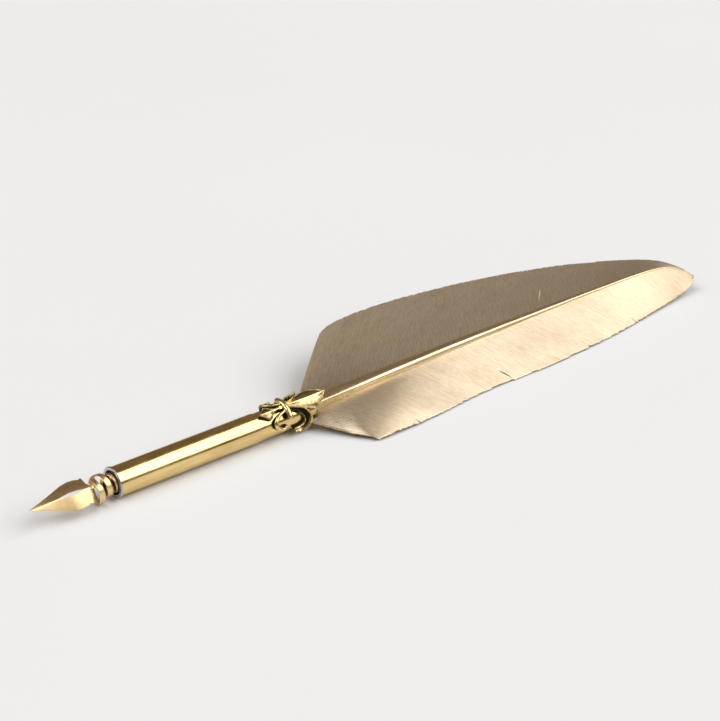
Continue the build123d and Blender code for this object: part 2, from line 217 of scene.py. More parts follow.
# ---- curves and meshes --------------------------------------------------------------------------
def smooth_line(points, place):
    """A smooth curve through points, read at one place: its across and height."""
    count = len(points) - 1
    step = max(index for index in range(count) if place >= points[index][0] or index == 0)

    def slope(index):
        before, after = points[max(index - 1, 0)], points[min(index + 1, count)]
        return Vector((0, after[1] - before[1], after[2] - before[2])) / (after[0] - before[0])

    start, end = points[step], points[step + 1]
    span = end[0] - start[0]
    share = min(1.0, (place - start[0]) / span)
    blend = share * share * (3 - 2 * share)
    level = Vector((0, *start[1:])) * (1 - blend) + Vector((0, *end[1:])) * blend
    bend = slope(step) * (1 - share) - slope(step + 1) * share
    return Vector((place, 0, 0)) + level + bend * (span * share * (1 - share))


def hump(value, middle, spread):
    """A soft hump of height 1 at middle."""
    return np.exp(-((value - middle) / spread) ** 2)


def dome(share):
    """A round arch of height 1 at 0 that falls to 0 at -1 and 1."""
    return np.sqrt(np.clip(1 - share**2, 0, 1))


def smoothstep(low, high, value):
    """A soft step from 0 at low to 1 at high."""
    share = np.clip((value - low) / (high - low), 0, 1)
    return share * share * (3 - 2 * share)


def new_piece(name, points, faces, uv=None, sharp=70):
    """A smooth-shaded mesh from points in millimetres, with its normals outward."""
    used = np.unique(np.concatenate([np.asarray(face).ravel() for face in faces]))
    renumber = np.full(len(points), -1)
    renumber[used] = np.arange(len(used))
    mesh = bpy.data.meshes.new(name)
    mesh.from_pydata((points[used] * MM).tolist(), [], [f for face in faces for f in renumber[face].tolist()])
    if uv is not None:
        layer = mesh.uv_layers.new(name="barbs")
        corners = np.empty(len(mesh.loops), dtype=np.int32)
        mesh.loops.foreach_get("vertex_index", corners)
        layer.data.foreach_set("uv", uv[used][corners].astype(np.float32).ravel())
    work = bmesh.new()
    work.from_mesh(mesh)
    bmesh.ops.recalc_face_normals(work, faces=work.faces)
    work.to_mesh(mesh)
    work.free()
    mesh.polygons.foreach_set("use_smooth", [True] * len(mesh.polygons))
    mesh.set_sharp_from_angle(angle=radians(sharp))
    piece = bpy.data.objects.new(name, mesh)
    bpy.context.scene.collection.objects.link(piece)
    return piece


def slab(name, top, bottom, keep, uv=None, sharp=70):
    """A closed solid between two grids of points, over the cells that keep allows."""
    number = np.arange(top.shape[0] * top.shape[1]).reshape(top.shape[:2])
    under = number.size
    a, b, c, d = number[:-1, :-1], number[1:, :-1], number[1:, 1:], number[:-1, 1:]
    around = np.pad(keep, 1)
    walls = [
        (keep & ~around[:-2, 1:-1], a, d), (keep & ~around[2:, 1:-1], c, b),
        (keep & ~around[1:-1, :-2], b, a), (keep & ~around[1:-1, 2:], d, c),
    ]
    faces = [np.stack([a[keep], b[keep], c[keep], d[keep]], axis=1)]
    faces.append(faces[0][:, ::-1] + under)
    for open_side, start, end in walls:
        start, end = start[open_side], end[open_side]
        faces.append(np.stack([start, end, end + under, start + under], axis=1))
    points = np.concatenate([top.reshape(-1, 3), bottom.reshape(-1, 3)])
    if uv is not None:
        uv = np.concatenate([uv.reshape(-1, 2)] * 2)
    return new_piece(name, points, [face for face in faces if len(face)], uv, sharp)


def tube(name, rings):
    """A closed solid through rings of points, with its two ends capped."""
    rings = np.asarray(rings)
    count, around = rings.shape[:2]
    number = np.arange(count * around).reshape(count, around)
    after = np.roll(number, -1, axis=1)
    sides = np.stack([number[:-1], number[1:], after[1:], after[:-1]], axis=-1).reshape(-1, 4)
    return new_piece(name, rings.reshape(-1, 3), [sides, number[:1], number[-1:]])


# ---- materials ----------------------------------------------------------------------------------
class Look:
    """A node material: a Principled shader with procedural colour, roughness and bump."""

    def __init__(self, name, **shader_values):
        self.material = bpy.data.materials.new(name)
        self.material.use_nodes = True
        self.tree = self.material.node_tree
        self.shader = self.tree.nodes["Principled BSDF"]
        for socket, value in shader_values.items():
            self.shader.inputs[socket.replace("_", " ")].default_value = value

    def node(self, kind, inputs=(), **settings):
        """A new node with its settings, and its inputs linked to sockets or set to values."""
        made = self.tree.nodes.new("ShaderNode" + kind)
        for setting, value in settings.items():
            setattr(made, setting, value)
        for socket, value in dict(inputs).items():
            if isinstance(value, bpy.types.NodeSocket):
                self.tree.links.new(value, made.inputs[socket])
            else:
                made.inputs[socket].default_value = value
        return made.outputs[0]

    def place(self, scale=(1000, 1000, 1000), uv=None):
        """The object's coordinates in millimetres, or those of the UV map that uv names, times scale."""
        if uv:
            source = self.node("UVMap", uv_map=uv)
        else:
            self.node("TexCoord")
            source = self.tree.nodes[-1].outputs["Object"]
        return self.node("Mapping", {"Vector": source, "Scale": scale})

    def cloud(self, place, scale, detail=3.0, rough=0.55):
        """Soft noise from about 0 to 1."""
        return self.node("TexNoise", {"Vector": place, "Scale": scale, "Detail": detail, "Roughness": rough})

    def ramp(self, value, *stops):
        """value turned into a colour or a grey, through stops of position and colour."""
        made = self.node("ValToRGB", {0: value})
        ramp = self.tree.nodes[-1].color_ramp
        while len(ramp.elements) < len(stops):
            ramp.elements.new(1.0)
        for element, (position, colour) in zip(ramp.elements, stops):
            element.position = position
            element.color = (*colour, 1) if isinstance(colour, tuple) else (colour, colour, colour, 1)
        return made

    def span(self, value, low, high, to_low, to_high):
        """value carried from low..high to to_low..to_high, and held there."""
        return self.node("MapRange", {
            "Value": value, "From Min": low, "From Max": high, "To Min": to_low, "To Max": to_high,
        })

    def calc(self, operation, first, second):
        return self.node("Math", {0: first, 1: second}, operation=operation)

    def mix(self, share, first, second):
        """The first colour blended into the second by share."""
        made = self.tree.nodes.new("ShaderNodeMix")
        made.data_type = "RGBA"
        for index, value in ((0, share), (6, first), (7, second)):
            if isinstance(value, bpy.types.NodeSocket):
                self.tree.links.new(value, made.inputs[index])
            else:
                made.inputs[index].default_value = value if index == 0 else (*value, 1)
        return made.outputs[2]

    def finish(self, colour, roughness, height, distance):
        """Links colour and roughness, and bumps the surface by height, distance in metres."""
        self.tree.links.new(colour, self.shader.inputs["Base Color"])
        self.tree.links.new(roughness, self.shader.inputs["Roughness"])
        bump = self.node("Bump", {"Height": height, "Distance": distance})
        self.tree.links.new(bump, self.shader.inputs["Normal"])
        return self.material


def drawn_metal(name, light, deep, rough, streak=(60, 900, 900), scratch=4e-6):
    """A polished or drawn metal: fine lengthwise lines, cloudy handling marks and a few darker spots."""
    look = Look(name, Metallic=1.0)
    lines = look.cloud(look.place(streak), 1.6, 4)
    marks = look.cloud(look.place((110, 260, 260)), 1.0, 5)
    tone = look.calc("ADD", look.calc("MULTIPLY", lines, 0.5), look.calc("MULTIPLY", marks, 0.5))
    colour = look.ramp(tone, (0.34, deep), (0.62, light))
    roughness = look.span(marks, 0.35, 0.7, rough * 0.75, rough * 1.35)
    return look.finish(colour, roughness, lines, scratch)


def gilded_barbs(name):
    """Gold paint on barbs: streaks along each barb, painted shade in the valleys between them, barbules and
    glitter.

    The map "barbs" counts the barbs one way and millimetres from the middle the other. Towards the tip the
    colour is darkened with painted shade, to tone the highlight there down.
    """
    look = Look(name, Metallic=0.9, Anisotropic=0.5, Anisotropic_Rotation=0.25)
    along = look.node("Tangent", direction_type="UV_MAP", uv_map="barbs")
    look.tree.links.new(along, look.shader.inputs["Tangent"])
    streaks = look.cloud(look.place((1.7, 0.09, 1), uv="barbs"), 1.0, 5, 0.6)
    patches = look.cloud(look.place((0.03, 0.12, 1), uv="barbs"), 1.0, 3)
    barbules = look.cloud(look.place((4.0, 2.6, 1), uv="barbs"), 1.0, 2, 0.7)
    barb = look.node("SeparateXYZ", {0: look.place((1, 1, 1), uv="barbs")})
    # painted shade: the valleys between the barbs are darkened, more strongly in some patches than in others
    valley = look.span(look.calc("PINGPONG", barb, 0.5), 0.0, 0.28, 1.0, 0.0)
    valley_shade_strength = look.span(look.cloud(look.place((0.7, 0.5, 1), uv="barbs"), 1.0, 3), 0.35, 0.65, 0.2, 0.95)
    look.node("TexVoronoi", {"Vector": look.place((5200, 5200, 5200)), "Scale": 1.0})
    sparkle = look.node("TexWhiteNoise", {"Vector": look.tree.nodes[-1].outputs["Position"]})
    tone = look.calc("ADD", look.calc("MULTIPLY", streaks, 0.62), look.calc("MULTIPLY", patches, 0.38))
    colour = look.ramp(
        tone, (0.25, (0.56, 0.44, 0.29)), (0.5, (0.77, 0.65, 0.48)), (0.72, (0.89, 0.79, 0.63)),
    )
    colour = look.mix(look.span(barbules, 0.35, 0.7, 0.3, 0.0), colour, (0.3, 0.21, 0.11))
    colour = look.mix(look.calc("MULTIPLY", valley, valley_shade_strength), colour, (0.24, 0.16, 0.08))
    look.node("SeparateXYZ", {0: look.place()})
    lengthwise = look.tree.nodes[-1].outputs["X"]
    # painted shade: the colour darkens towards the feather's tip to tone down the bright highlight there
    colour = look.mix(look.span(lengthwise, 130, 185, 0.0, 0.3), colour, (0.5, 0.38, 0.25))
    roughness = look.calc("ADD", look.span(tone, 0.3, 0.7, 0.36, 0.27), look.calc("MULTIPLY", sparkle, 0.08))
    height = look.calc("ADD", barbules, sparkle)
    return look.finish(colour, roughness, look.calc("ADD", height, streaks), 2.2e-5)


def gilded_quill(name):
    """The painted shaft: long fibres and a slightly uneven coat."""
    look = Look(name, Metallic=0.95)
    fibres = look.cloud(look.place((35, 1500, 1500)), 1.2, 4)
    coat = look.cloud(look.place((150, 420, 420)), 1.0, 4)
    colour = look.ramp(fibres, (0.32, (0.62, 0.47, 0.27)), (0.65, (0.86, 0.7, 0.44)))
    return look.finish(colour, look.span(coat, 0.3, 0.7, 0.2, 0.34), look.calc("ADD", fibres, coat), 1.2e-5)


def antique_brass(name, low, high):
    """Cast brass, blackened in the recesses and rubbed bright where it stands away from the barrel's axis."""
    look = Look(name, Metallic=1.0)
    spread = look.node("Mapping", {"Vector": look.place(), "Scale": (0, 1, 1)})
    look.node("VectorMath", {0: spread}, operation="LENGTH")
    height = look.tree.nodes[-1].outputs["Value"]
    stain = look.cloud(look.place((900, 900, 900)), 1.0, 6, 0.6)
    grain = look.cloud(look.place((4200, 4200, 4200)), 1.0, 3)
    rubbed = look.span(look.calc("ADD", height, look.span(stain, 0.3, 0.7, -0.08, 0.08)), low, high, 0.0, 1.0)
    brass = look.ramp(stain, (0.35, (0.5, 0.37, 0.15)), (0.6, (0.83, 0.65, 0.32)))
    colour = look.mix(rubbed, (0.02, 0.016, 0.01), brass)
    roughness = look.span(rubbed, 0.0, 1.0, 0.42, 0.2)
    return look.finish(colour, roughness, look.calc("ADD", stain, grain), 2.5e-5)


def plain_solid(name, light, deep, rough, grain, metallic=0.0, relief=3e-5):
    """A hidden or dull solid with cloudy colour and a fine grain along the pen."""
    look = Look(name, Metallic=metallic)
    clouds = look.cloud(look.place(grain), 1.0, 5)
    fine = look.cloud(look.place((2500, 2500, 2500)), 1.0, 3)
    colour = look.ramp(clouds, (0.3, deep), (0.7, light))
    return look.finish(colour, look.span(fine, 0.3, 0.7, rough * 0.8, rough * 1.2),
                       look.calc("ADD", clouds, fine), relief)


def paint(node, material):
    """Gives a CAD node, or a piece, one material in every slot."""
    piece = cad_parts.get(node) if isinstance(node, str) else node
    if not piece.material_slots:
        piece.data.materials.append(material)
    for slot in piece.material_slots:
        slot.material = material


# ---- feather ------------------------------------------------------------------------------------
def shaft_width(place):
    """Half width of the shaft, which tapers to the tip."""
    return RACHIS_R * (1 - RACHIS_TAPER * (place - FEATHER_START) / (FEATHER_TIP - FEATHER_START))


def vane_height(vane, place, across):
    """Height of a vane's middle surface above the barrel's axis."""
    edge = smooth_line(vane["edge"], place)
    centre = smooth_line(RACHIS_LINE, max(place, FEATHER_START))
    width = shaft_width(max(place, FEATHER_START))
    root = centre.y + vane["side"] * width / 2
    reach = max(0.05, abs(edge.y - root))
    share = min(1.0, max(0.0, (across - root) * vane["side"] / reach))
    change = float(smoothstep(*BOW_CHANGE, place))
    bow = vane["bow"][0] * (1 - change) + vane["bow"][1] * change
    rise = float(smoothstep(*BOW_RISE, place)) * min(1.0, reach / FULL_BOW_REACH)
    arch = 4 * bow * rise * share * (1 - share)
    onward = max(0.0, (place - FEATHER_START) / (FEATHER_TIP - FEATHER_START))
    lift = (vane["lift"][0] * (1 - onward) + vane["lift"][1] * onward) * width * RACHIS_FLATNESS
    return (centre.z + lift) * (1 - share) + edge.z * share + arch


def barb_angle(vane, root):
    """The angle between a barb and the shaft: nearly even, then closing towards the tip."""
    base, middle, tip = vane["angles"]
    share = max(0.0, (root - FEATHER_START) / (FEATHER_TIP - FEATHER_START))
    settled, late = min(1, share * ANGLE_EASE[0]), share ** ANGLE_EASE[1]
    return radians(base + (middle - base) * settled + (tip - middle) * late)


def lay_barb(vane, root):
    """One barb's path from the shaft to the vane's edge, as places and widths across."""
    side = vane["side"]
    centre = smooth_line(RACHIS_LINE, max(root, FEATHER_START))
    place, across = root, centre.y + side * shaft_width(max(root, FEATHER_START)) * BARB_ROOT
    angle = barb_angle(vane, root)
    corner_reach = max(abs(point[1]) for point in vane["edge"])
    path = []
    while place < FEATHER_TIP:
        edge = smooth_line(vane["edge"], place)
        outside = (across - edge.y) * side >= 0 and place >= vane["corner"] or abs(across) >= corner_reach
        beside = place >= FEATHER_START or abs(across) >= BARREL_R + BARREL_GAP
        if outside and path:
            break
        if beside and not outside:
            path.append((place, across))
        place += BARB_STEP * cos(angle)
        across += BARB_STEP * sin(angle) * side
        angle -= BARB_BEND * BARB_STEP
    return path


def barb_paths(vane):
    """Evenly divided barbs: an array of barb, row and (place, across)."""
    rows = np.linspace(0, 1, BARB_ROWS)
    barbs = []
    root = vane["first_root"]
    while root < LAST_ROOT:
        path = np.array(lay_barb(vane, root))
        root += BARB_PITCH
        if len(path) < 2:
            continue
        shares = np.linspace(0, 1, len(path))
        barbs.append(np.stack([np.interp(rows, shares, path[:, axis]) for axis in (0, 1)], axis=1))
    return np.array(barbs)


def open_splits(paths, keep, vane):
    """Parts the barbs at each split, and at many small ones along the edge."""
    rows = np.linspace(0, 1, BARB_ROWS)
    number = np.arange(len(paths))
    splits = list(vane["splits"])
    for _ in range(SMALL_SPLITS):
        place = random.uniform(vane["first_root"] + SMALL_SPLIT_ROOM, LAST_SMALL_SPLIT)
        splits.append((place, random.uniform(*SMALL_SPLIT_START), 1.0, random.uniform(*SMALL_SPLIT_WIDTH)))
    shift = np.zeros(paths.shape[:2])
    for place, start, end, gap in splits:
        at = int(np.argmin(np.abs(paths[:, -1, 0] - place)))
        at -= at % BARB_SAMPLES
        along = np.clip((rows - start) / (end - start), 0, 1)
        opening = along**SPLIT_FLARE if end == 1 else np.sin(pi * along)
        side = np.where(number <= at, -1.0, 1.0)
        pushed = SPLIT_PUSH[0] + SPLIT_PUSH[1] * (end - start)
        reach = np.exp(-np.abs(number - at) / (BARB_SAMPLES * pushed))
        shift += (gap / 2) * (side * reach)[:, None] * opening[None, :]
        keep[at, :] &= opening[:-1] <= SHUT_BELOW
    paths[:, :, 0] += shift


def make_vane(name, vane):
    """A vane as one closed sheet, ridged barb by barb."""
    barbs = barb_paths(vane)
    count = (len(barbs) - 1) * BARB_SAMPLES + 1
    spot = np.arange(count) / BARB_SAMPLES
    low = np.minimum(spot.astype(int), len(barbs) - 2)
    blend = (spot - low)[:, None, None]
    paths = barbs[low] * (1 - blend) + barbs[low + 1] * blend
    keep = np.ones((count - 1, BARB_ROWS - 1), dtype=bool)
    rows = np.linspace(0, 1, BARB_ROWS)
    ridge = 0.5 - 0.5 * np.cos(2 * pi * spot)
    # each barb ends in its own soft point
    uneven = np.array([noise.noise(Vector((number * 0.9, 3.1, 0))) for number in low])
    ends = BARB_POINT * ridge + BARB_RAGGED * uneven
    tips = paths[:, -1] - paths[:, -2]
    lengths = np.linalg.norm(tips, axis=1)[:, None]
    paths[:, -1] += tips / np.maximum(lengths, 0.05) * np.minimum(ends[:, None] - BARB_CUT, 0)
    open_splits(paths, keep, vane)
    top = np.zeros((count, BARB_ROWS, 3))
    uv = np.zeros((count, BARB_ROWS, 2))
    for column in range(count):
        for row in range(BARB_ROWS):
            place, across = paths[column, row]
            height = vane_height(vane, place, across)
            wave_at = (place * WAVE_SCALE[0], across * WAVE_SCALE[1], vane["side"] * 5.0)
            clump_at = (spot[column] * CLUMP_SCALE[0], rows[row] * CLUMP_SCALE[1], vane["side"] * 9.0)
            wave, clump = noise.noise(Vector(wave_at)), noise.noise(Vector(clump_at))
            swell = vane["swell"] * (WAVE_HEIGHT * wave + CLUMP_HEIGHT * clump) * rows[row] ** WAVE_POWER
            relief = BARB_RELIEF * ridge[column] * (1 - RELIEF_LOSS * rows[row])
            top[column, row] = place, across, height + swell + relief
            uv[column, row] = spot[column], abs(across)
    thickness = (ROOT_THICKNESS + (RIM_THICKNESS - ROOT_THICKNESS) * rows)[None, :]
    lowest = TABLE + TABLE_GAP + thickness + BARB_RELIEF * ridge[:, None] * (1 - RELIEF_LOSS)
    top[:, :, 2] = np.maximum(top[:, :, 2], lowest)
    bottom = top.copy()
    bottom[:, :, 2] -= thickness
    return slab(name, top, bottom, keep, uv)


def make_shaft(name):
    """The calamus in the barrel and the tapering shaft between the vanes, with a crest and a groove."""
    turns = [2 * pi * step / SHAFT_SIDES for step in range(SHAFT_SIDES)]
    rings = []
    for place in (CALAMUS_START, CALAMUS_END):
        rings.append([(place, -CALAMUS_R * sin(turn), CALAMUS_R * cos(turn)) for turn in turns])
    for step in range(SHAFT_STEPS + 1):
        place = FEATHER_START + (FEATHER_TIP - FEATHER_START) * step / SHAFT_STEPS
        width, centre = shaft_width(place), smooth_line(RACHIS_LINE, place)
        ring = []
        for turn in turns:
            crest = CREST[0] * hump(turn, RACHIS_CREST, CREST[1])
            groove = GROOVE[0] * hump(turn, RACHIS_GROOVE, GROOVE[1])
            far_side = max(0.0, -sin(turn)) ** FAR_SIDE_FLARE[1]
            reach = width * (SHAFT_BODY + crest - groove)
            across = centre.y - reach * sin(turn) * (1 + FAR_SIDE_FLARE[0] * far_side)
            ring.append((place, across, centre.z + reach * RACHIS_FLATNESS * cos(turn)))
        rings.append(ring)
    return tube(name, rings)


# ---- nib ----------------------------------------------------------------------------------------
def wing_half(place):
    """Half width of the blade."""
    places, halves, _ = zip(*WING)
    return float(np.interp(place, places, halves))


def blade_point(place, share):
    """A point of the blade's upper skin: share runs from the far wing's edge at 1 to the near one's at -1."""
    ridge = np.interp(place, *zip(*RIDGE))
    half = wing_half(place)
    places, _, heights = zip(*WING)
    edge = float(np.interp(place, places, heights))
    across = half * share
    fall = abs(share)
    # the wings belly out a little and the ridge is softly rounded
    height = ridge + (edge - ridge) * fall + WING_BELLY * min(1, half) * 4 * fall * (1 - fall)
    height -= RIDGE_ROUND[0] * hump(fall * half, 0, RIDGE_ROUND[1])
    return Vector((
        place,
        across * cos(NIB_ROLL) - height * sin(NIB_ROLL),
        across * sin(NIB_ROLL) + height * cos(NIB_ROLL),
    ))


def opening_half(place):
    """Half width of the slit and of the drop-shaped vent."""
    start, end = VENT
    if place < start:
        return SLIT_HALF
    if place > end:
        return 0.0
    share = (place - start) / (end - start)
    factor, opening, closing = VENT_CURVE
    return SLIT_HALF * (1 - share) + VENT_HALF * factor * share**opening * (1 - share) ** closing


def make_blade(name):
    """The two wings of the blade, parted by the slit and the vent and joined behind it."""
    lengthwise = np.linspace(BLADE_TIP, BLADE_BACK, BLADE_STEPS)
    shares = np.linspace(0, 1, WING_STEPS) ** WING_CROWDING
    columns = np.concatenate([-shares[::-1], shares])
    top = np.zeros((len(lengthwise), len(columns), 3))
    for row, place in enumerate(lengthwise):
        gap = min(VENT_LIMIT, opening_half(place) / wing_half(place))
        for column, share in enumerate(columns):
            side = -1 if column < len(shares) else 1
            top[row, column] = blade_point(place, side * (gap + (1 - gap) * abs(share)))
    inward = np.array([0, sin(NIB_ROLL), -cos(NIB_ROLL)]) * SHEET
    keep = np.ones((len(lengthwise) - 1, len(columns) - 1), dtype=bool)
    keep[:, len(shares) - 1] = [opening_half(place) == 0 for place in lengthwise[1:]]
    return slab(name, top, top + inward, keep, sharp=50)


def ribbon_radius(angle):
    """Outer radius of the ribbon: it leaves the neck, opens to the first turn and tapers into the ferrule."""
    opening = min(1.0, max(0.0, (angle - OPENING[0]) / (OPENING[1] - OPENING[0])))
    taper = min(1.0, max(0.0, (angle - TAPER[0]) / (TAPER[1] - TAPER[0])))
    return NECK_R + (COIL_R - NECK_R) * opening - (COIL_R - SHANK_R) * taper


def make_spiral(name):
    """The wound ribbon, slightly crowned, with rounded edges."""
    last = 360 * (SHANK_END - COIL_START - COIL_WIDTH / 2) / COIL_PITCH
    rings = []
    for angle in np.arange(COIL_FIRST, last, COIL_STEP):
        turn, outer = radians(angle), ribbon_radius(angle)
        width = COIL_WIDTH * min(1.0, COIL_NARROW + (angle - COIL_FIRST) / COIL_WIDENS)
        place = COIL_START + COIL_PITCH * angle / 360
        ring = []
        for across, depth in RIBBON_PROFILE:
            radius = outer - depth * SHEET
            ring.append((place + across * width, -radius * sin(turn), radius * cos(turn)))
        rings.append(ring)
    return tube(name, rings)


def make_neck(name):
    """The short strip that runs from the blade's back edge up into the ribbon."""
    places = np.linspace(*NECK_PLACES, NECK_STEPS[0])
    turns = np.linspace(*NECK_TURNS, NECK_STEPS[1])
    top = np.zeros((len(places), len(turns), 3))
    for row, place in enumerate(places):
        share = (place - places[0]) / (places[-1] - places[0])
        middle, waist = NECK_LEAN[0] - NECK_LEAN[1] * share, 1 - NECK_WAIST * sin(pi * share)
        for column, turn in enumerate(turns):
            lean = radians(middle + (turn - NECK_MIDDLE) * waist)
            radius = NECK_RADIUS[0] - NECK_RADIUS[1] * sin(pi * share) + NECK_RADIUS[2] * share
            round_point = Vector((place, -radius * sin(lean), radius * cos(lean)))
            under_blade = blade_point(place, -radius * sin(lean - NIB_ROLL) / wing_half(place))
            leave = float(smoothstep(*NECK_LEAVES, place))
            top[row, column] = under_blade.lerp(round_point, leave)
    base = top.copy()
    top[:, :, 1:] *= 1 - NECK_SKIN / NECK_R
    base[:, :, 1:] *= 1 - SHEET / NECK_R
    return slab(name, top, base, np.ones((len(places) - 1, len(turns) - 1), dtype=bool))


# ---- ornament -----------------------------------------------------------------------------------
def profile(stops, value):
    """A value read from straight lines between (position, value) stops."""
    positions, values = zip(*stops)
    return np.interp(value, positions, values)


def stroke(place, across, spine):
    """How far points lie across a curved stroke, from -1 on its inner side to 1, and their share along it."""
    best = np.full(place.shape, 9.0)
    signed = np.full(place.shape, 9.0)
    along = np.zeros(place.shape)
    points = []
    for start, end in zip(spine, spine[1:]):
        points += [tuple(a + (b - a) * step / 4 for a, b in zip(start, end)) for step in range(4)]
    points.append(spine[-1])
    # round the corners of the spine
    for _ in range(3):
        trios = zip(points, points[1:], points[2:])
        inner = [tuple((a + 2 * b + c) / 4 for a, b, c in zip(*trio)) for trio in trios]
        points = [points[0]] + inner + [points[-1]]
    for number, (start, end) in enumerate(zip(points, points[1:])):
        run = (end[0] - start[0], end[1] - start[1])
        length = max(1e-6, run[0] ** 2 + run[1] ** 2)
        share = np.clip(((place - start[0]) * run[0] + (across - start[1]) * run[1]) / length, 0, 1)
        off = (place - start[0] - share * run[0], across - start[1] - share * run[1])
        half = start[2] + (end[2] - start[2]) * share
        distance = np.hypot(*off) / half
        turn = np.sign(off[0] * run[1] - off[1] * run[0])
        closer = distance < best
        best = np.where(closer, distance, best)
        signed = np.where(closer, distance * turn, signed)
        along = np.where(closer, (number + share) / (len(points) - 1), along)
    return signed, along


# Spines of the curled petals: place, across and half width.
UPPER_PETAL = [
    (53.4, 0.9, 0.6), (56.4, 1.9, 0.95), (58.6, 4.2, 1.3), (58.6, 6.6, 1.4), (56.8, 8.0, 1.2),
    (54.9, 7.6, 0.7),
]
LOWER_PETAL = [
    (52.6, 1.1, 0.45), (50.0, 1.8, 0.6), (48.3, 3.3, 0.75), (48.5, 5.2, 0.75), (50.6, 6.1, 0.6),
    (51.6, 5.4, 0.35),
]
# Half widths of the leaf and the spike: place and half width.
LEAF_HALF = [(53.6, 0.9), (54.6, 1.05), (57.8, 2.6), (61.2, 3.7), (62.6, 3.45), (64.6, 1.9), (66.45, 0.0)]
SPIKE_HALF = [(44.5, 0.0), (46.2, 1.55), (47.2, 2.5), (48.0, 2.1), (49.2, 0.85), (50.0, 0.6), (53.4, 0.8)]
BAND_PLACES = (52.0, 53.8)
BAND_REACH = 3.9
BAND_END = 0.8                  # length over which the band's ends are rounded
BAND_HEIGHT = (1.0, 0.85)       # of its edge, and of its rounded top above that
BAND_WALL = (1.0, 0.86)         # the shares of its half width between which its side rises
FACET_RIM = (0.22, 0.3, 0.16)   # height of a raised rim, how far in it lies and its spread
FACET_DIP = 0.2                 # depth of the hollow behind that rim
DIP_SETS_IN = (0.35, 0.9)       # the depths from the edge between which the hollow sets in
DIP_ENDS = (0.35, 0.05)         # the shares of the half width between which it ends at the ridge
LEAF_HEIGHT = (0.75, 0.75)      # height of the leaf's edge, and of its ridge above that
SPIKE_HEIGHT = (0.7, 0.55)
FACET_WALL = 0.28               # width over which a side rises
PETAL_FLOOR = 0.35              # height of the upper petal's bowl
PETAL_OUTER = (1.25, 0.72, 0.24)        # its outer rim: height, place across the petal and spread
PETAL_INNER = (0.85, -0.75, 0.22)       # its inner rim
PETAL_INNER_RISE = (0.1, 0.3)   # the shares of its length between which the inner rim sets in
PETAL_WALL = 0.22
CURL_HEIGHT = (0.5, 0.85)       # the lower petal's edge, and its rounded top above that
CURL_ROUND = 0.95
CURL_WALL = 0.2
SUNK = 0.3                      # how far the casting's outline sinks below its seat
SEEN_ABOVE = -0.29              # relief above which there is metal


def faceted(half_width, heights, place, side):
    """The leaf or the spike: a raised rim, a hollow behind it and two facets that meet in a ridge."""
    half = profile(half_width, place)
    inside = (place > half_width[0][0]) & (place < half_width[-1][0]) & (side < half)
    share = side / np.maximum(half, 0.05)
    depth = half - side
    rim = FACET_RIM[0] * hump(depth, *FACET_RIM[1:])
    dip = FACET_DIP * smoothstep(*DIP_SETS_IN, depth) * smoothstep(*DIP_ENDS[::-1], share)
    height = heights[0] + rim + heights[1] * (1 - share) - dip
    return height, smoothstep(0.0, FACET_WALL, depth), inside


def upper_petal(place, side):
    """A curled petal hollowed between two rims."""
    share, along = stroke(place, side, UPPER_PETAL)
    outer = PETAL_OUTER[0] * hump(share, *PETAL_OUTER[1:])
    inner = PETAL_INNER[0] * hump(share, *PETAL_INNER[1:]) * smoothstep(*PETAL_INNER_RISE, along)
    return PETAL_FLOOR + outer + inner, smoothstep(0.0, PETAL_WALL, 1 - np.abs(share)), np.abs(share) < 1


def lower_petal(place, side):
    """A smaller petal with a round back."""
    share, _ = stroke(place, side, LOWER_PETAL)
    height = CURL_HEIGHT[0] + CURL_HEIGHT[1] * dome(share * CURL_ROUND)
    return height, smoothstep(0.0, CURL_WALL, 1 - np.abs(share)), np.abs(share) < 1


def band(place, side):
    """The band that ties the petals, with rounded edges and ends."""
    middle = sum(BAND_PLACES) / 2
    width = (BAND_PLACES[1] - BAND_PLACES[0]) / 2
    end = np.clip((side - BAND_REACH + BAND_END) / BAND_END, 0, 1)
    share = np.hypot(np.abs(place - middle) / width, end)
    height = BAND_HEIGHT[0] + BAND_HEIGHT[1] * dome(share)
    return height, smoothstep(*BAND_WALL, share), (share < 1) & (side < BAND_REACH)


def ornament_relief(place, across):
    """Height of the casting above its seat, over the flat pattern."""
    side = np.abs(across)
    relief = np.full(place.shape, -SUNK)
    for height, wall, inside in (
        faceted(LEAF_HALF, LEAF_HEIGHT, place, side), faceted(SPIKE_HALF, SPIKE_HEIGHT, place, side),
        upper_petal(place, side), lower_petal(place, side), band(place, side),
    ):
        relief = np.where(inside, np.maximum(relief, height * wall - SUNK * (1 - wall)), relief)
    return relief


def make_ornament(name):
    """The casting as a closed solid, its flat pattern bent round the barrel."""
    places = np.arange(*ORNAMENT_PLACES, ORNAMENT_CELL)
    acrosses = np.arange(-ORNAMENT_REACH, ORNAMENT_REACH + ORNAMENT_CELL, ORNAMENT_CELL)
    place, across = np.meshgrid(places, acrosses, indexing="ij")
    relief = ornament_relief(place, across)
    solid = relief > SEEN_ABOVE
    keep = solid[:-1, :-1] | solid[1:, :-1] | solid[1:, 1:] | solid[:-1, 1:]
    turn = across / ORNAMENT_MEAN_R + ORNAMENT_ROLL

    def wrap(radius):
        return np.stack([place, -radius * np.sin(turn), radius * np.cos(turn)], axis=-1)

    base = np.where(place > BARREL_LEN, LEAF_BACK_R, SEAT_R - SEAT_LAP)
    top = np.maximum(SEAT_R + relief, base + LEAST_METAL)
    return slab(name, wrap(top), wrap(base), keep, sharp=60)


